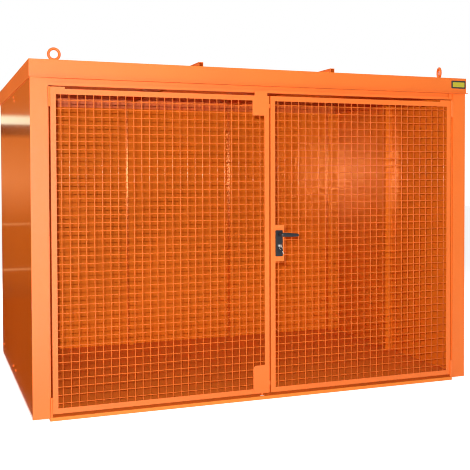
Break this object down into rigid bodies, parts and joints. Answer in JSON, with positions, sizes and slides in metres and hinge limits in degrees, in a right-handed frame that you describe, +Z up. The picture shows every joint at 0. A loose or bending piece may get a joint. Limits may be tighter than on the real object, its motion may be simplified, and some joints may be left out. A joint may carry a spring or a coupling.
{
  "type": "gas cylinder cage",
  "caption": "Walk-in sheet-steel gas cylinder store with two hinged mesh door leaves, a lever lock, shoot bolts, a framed roof and lifting eyes.",
  "frame": {"origin": "on the ground at the centre of the body's plan, under the middle floor bearer", "axes": "+X to the right along the front, +Y from the doors to the back wall, +Z up"},
  "size_m": [3.1, 2.1423, 2.282],
  "materials": {
    "orange_paint": "glossy orange paint",
    "floor_paint": "orange paint, duller on the deck",
    "black_handle": "satin black",
    "nickel": "nickel-plated, satin",
    "bolt_steel": "bright zinc-plated steel"
  },
  "bodies": {
    "store": {"floor_tray": "floor_paint", "front_left_post": "orange_paint", "front_right_post": "orange_paint", "rear_left_post": "orange_paint", "rear_right_post": "orange_paint", "header": "orange_paint", "back_wall": "orange_paint", "left_wall": "orange_paint", "right_wall": "orange_paint", "rear_rib_left": "orange_paint", "rear_rib_right": "orange_paint", "left_wall_rib": "orange_paint", "right_wall_rib": "orange_paint", "roof_frame": "orange_paint", "roof_sheet": "orange_paint", "ceiling_beams": "orange_paint", "roof_ribs": "orange_paint", "lifting_eye_front_left": "orange_paint", "lifting_eye_front_right": "orange_paint", "lifting_eye_rear_left": "orange_paint", "lifting_eye_rear_right": "orange_paint", "left_post_hinges": "orange_paint", "right_post_hinges": "orange_paint"},
    "left_leaf": {"left_leaf_rails": "orange_paint", "left_leaf_stiles": "orange_paint", "left_mesh_lower": "orange_paint", "left_mesh_middle": "orange_paint", "left_mesh_upper": "orange_paint", "left_leaf_hinges": "orange_paint", "bolt_plates": "orange_paint", "bolt_guides": "orange_paint"},
    "right_leaf": {"right_leaf_rails": "orange_paint", "right_leaf_stiles": "orange_paint", "right_mesh_lower": "orange_paint", "right_mesh_middle": "orange_paint", "right_mesh_upper": "orange_paint", "right_leaf_hinges": "orange_paint", "lock_plate": "orange_paint", "lock_case": "orange_paint", "handle_backplate": "black_handle", "lock_cylinder": "nickel"},
    "lever": {"lever_handle": "black_handle"},
    "key": {"key": "nickel"},
    "upper_bolt": {"upper_bolt": "bolt_steel"},
    "lower_bolt": {"lower_bolt": "bolt_steel"}
  },
  "joints": [
    {"name": "left_door", "type": "hinge", "parent": "store", "child": "left_leaf", "pos_m": [-1.432, -1.041, 1.031], "axis": [0, 0, -1], "range_deg": [0, 110]},
    {"name": "right_door", "type": "hinge", "parent": "store", "child": "right_leaf", "pos_m": [1.432, -1.041, 1.031], "axis": [0, 0, 1], "range_deg": [0, 110]},
    {"name": "lever_turn", "type": "hinge", "parent": "right_leaf", "child": "lever", "pos_m": [0.071, -1.047, 1.1], "axis": [0, 1, 0], "range_deg": [0, 40], "stiffness_Nm_per_rad": 1.5, "springref_deg": -20.05},
    {"name": "key_turn", "type": "hinge", "parent": "right_leaf", "child": "key", "pos_m": [0.071, -1.052, 1.024], "axis": [0, 1, 0], "range_deg": [0, 360]},
    {"name": "upper_bolt_slide", "type": "slide", "parent": "left_leaf", "child": "upper_bolt", "axis": [0, 0, -1], "range_m": [-0.01, 0.025]},
    {"name": "lower_bolt_slide", "type": "slide", "parent": "left_leaf", "child": "lower_bolt", "axis": [0, 0, 1], "range_m": [-0.01, 0.025]}
  ]
}
